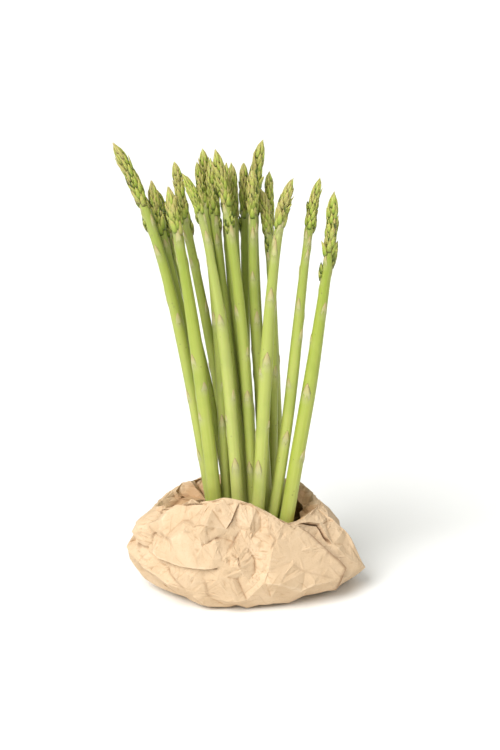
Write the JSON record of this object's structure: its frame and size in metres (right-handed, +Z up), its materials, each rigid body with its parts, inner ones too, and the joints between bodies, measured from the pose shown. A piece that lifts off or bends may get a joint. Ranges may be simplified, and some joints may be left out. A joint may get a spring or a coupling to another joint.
{
  "type": "bundle of asparagus in a paper bag",
  "caption": "Bundle of fresh green asparagus spears standing and fanning out in a low crumpled kraft paper bag with a turned-down cuff.",
  "frame": {"origin": "middle of the flat underside of the paper bag, on the surface it stands on", "axes": "+Z up along the standing spears, +X to the right of the front view, +Y to the back"},
  "size_m": [0.1521, 0.0994, 0.2762],
  "materials": {
    "kraft_paper": "crumpled light brown kraft paper, matte, with fine fibres and creases",
    "asparagus": "fresh asparagus skin: yellow-green, satin, with paler triangular bracts and beige to purple scale tips"
  },
  "bodies": {
    "root": {"paper_bag": "kraft_paper", "spear_a": "asparagus", "spear_b": "asparagus", "spear_c": "asparagus", "spear_d": "asparagus", "spear_e": "asparagus", "spear_f": "asparagus", "spear_g": "asparagus", "spear_h": "asparagus", "spear_i": "asparagus", "spear_j": "asparagus", "spear_k": "asparagus", "spear_l": "asparagus", "spear_m": "asparagus", "spear_n": "asparagus", "spear_o": "asparagus", "spear_p": "asparagus", "spear_q": "asparagus", "spear_r": "asparagus", "spear_s": "asparagus", "spear_t": "asparagus"}
  },
  "joints": []
}
